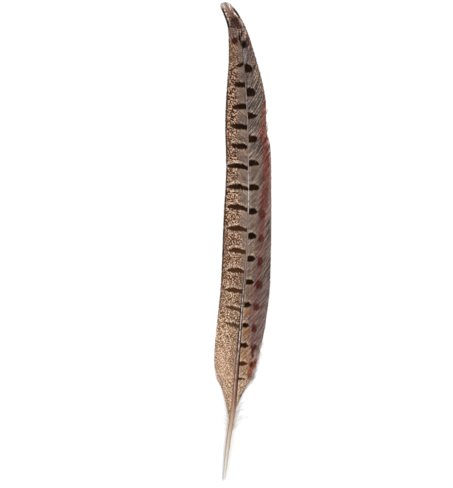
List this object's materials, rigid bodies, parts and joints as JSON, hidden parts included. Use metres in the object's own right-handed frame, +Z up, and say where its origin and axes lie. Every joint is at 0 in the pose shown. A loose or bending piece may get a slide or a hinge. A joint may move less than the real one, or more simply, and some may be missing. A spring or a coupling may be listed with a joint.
{
  "type": "pheasant tail feather",
  "caption": "Long, slightly curved pheasant tail feather with dark cross bars on its vanes, a pointed tip and a bare quill, lying with its upper side up.",
  "frame": {"origin": "centre of the bounding box's bottom face, on the surface that the feather lies on", "axes": "+Y from the quill's end towards the tip, +Z up out of the feather's upper side, +X towards the right-hand vane seen from above"},
  "size_m": [0.0302, 0.25, 0.0039],
  "materials": {
    "vane": "soft barbs, taupe grey beside the shaft, mottled buff and rufous brown outside, with blackish cross bars",
    "shaft": "glossy brown horn that pales to translucent cream along the bare quill"
  },
  "bodies": {
    "root": {"feather": "vane"}
  },
  "joints": []
}
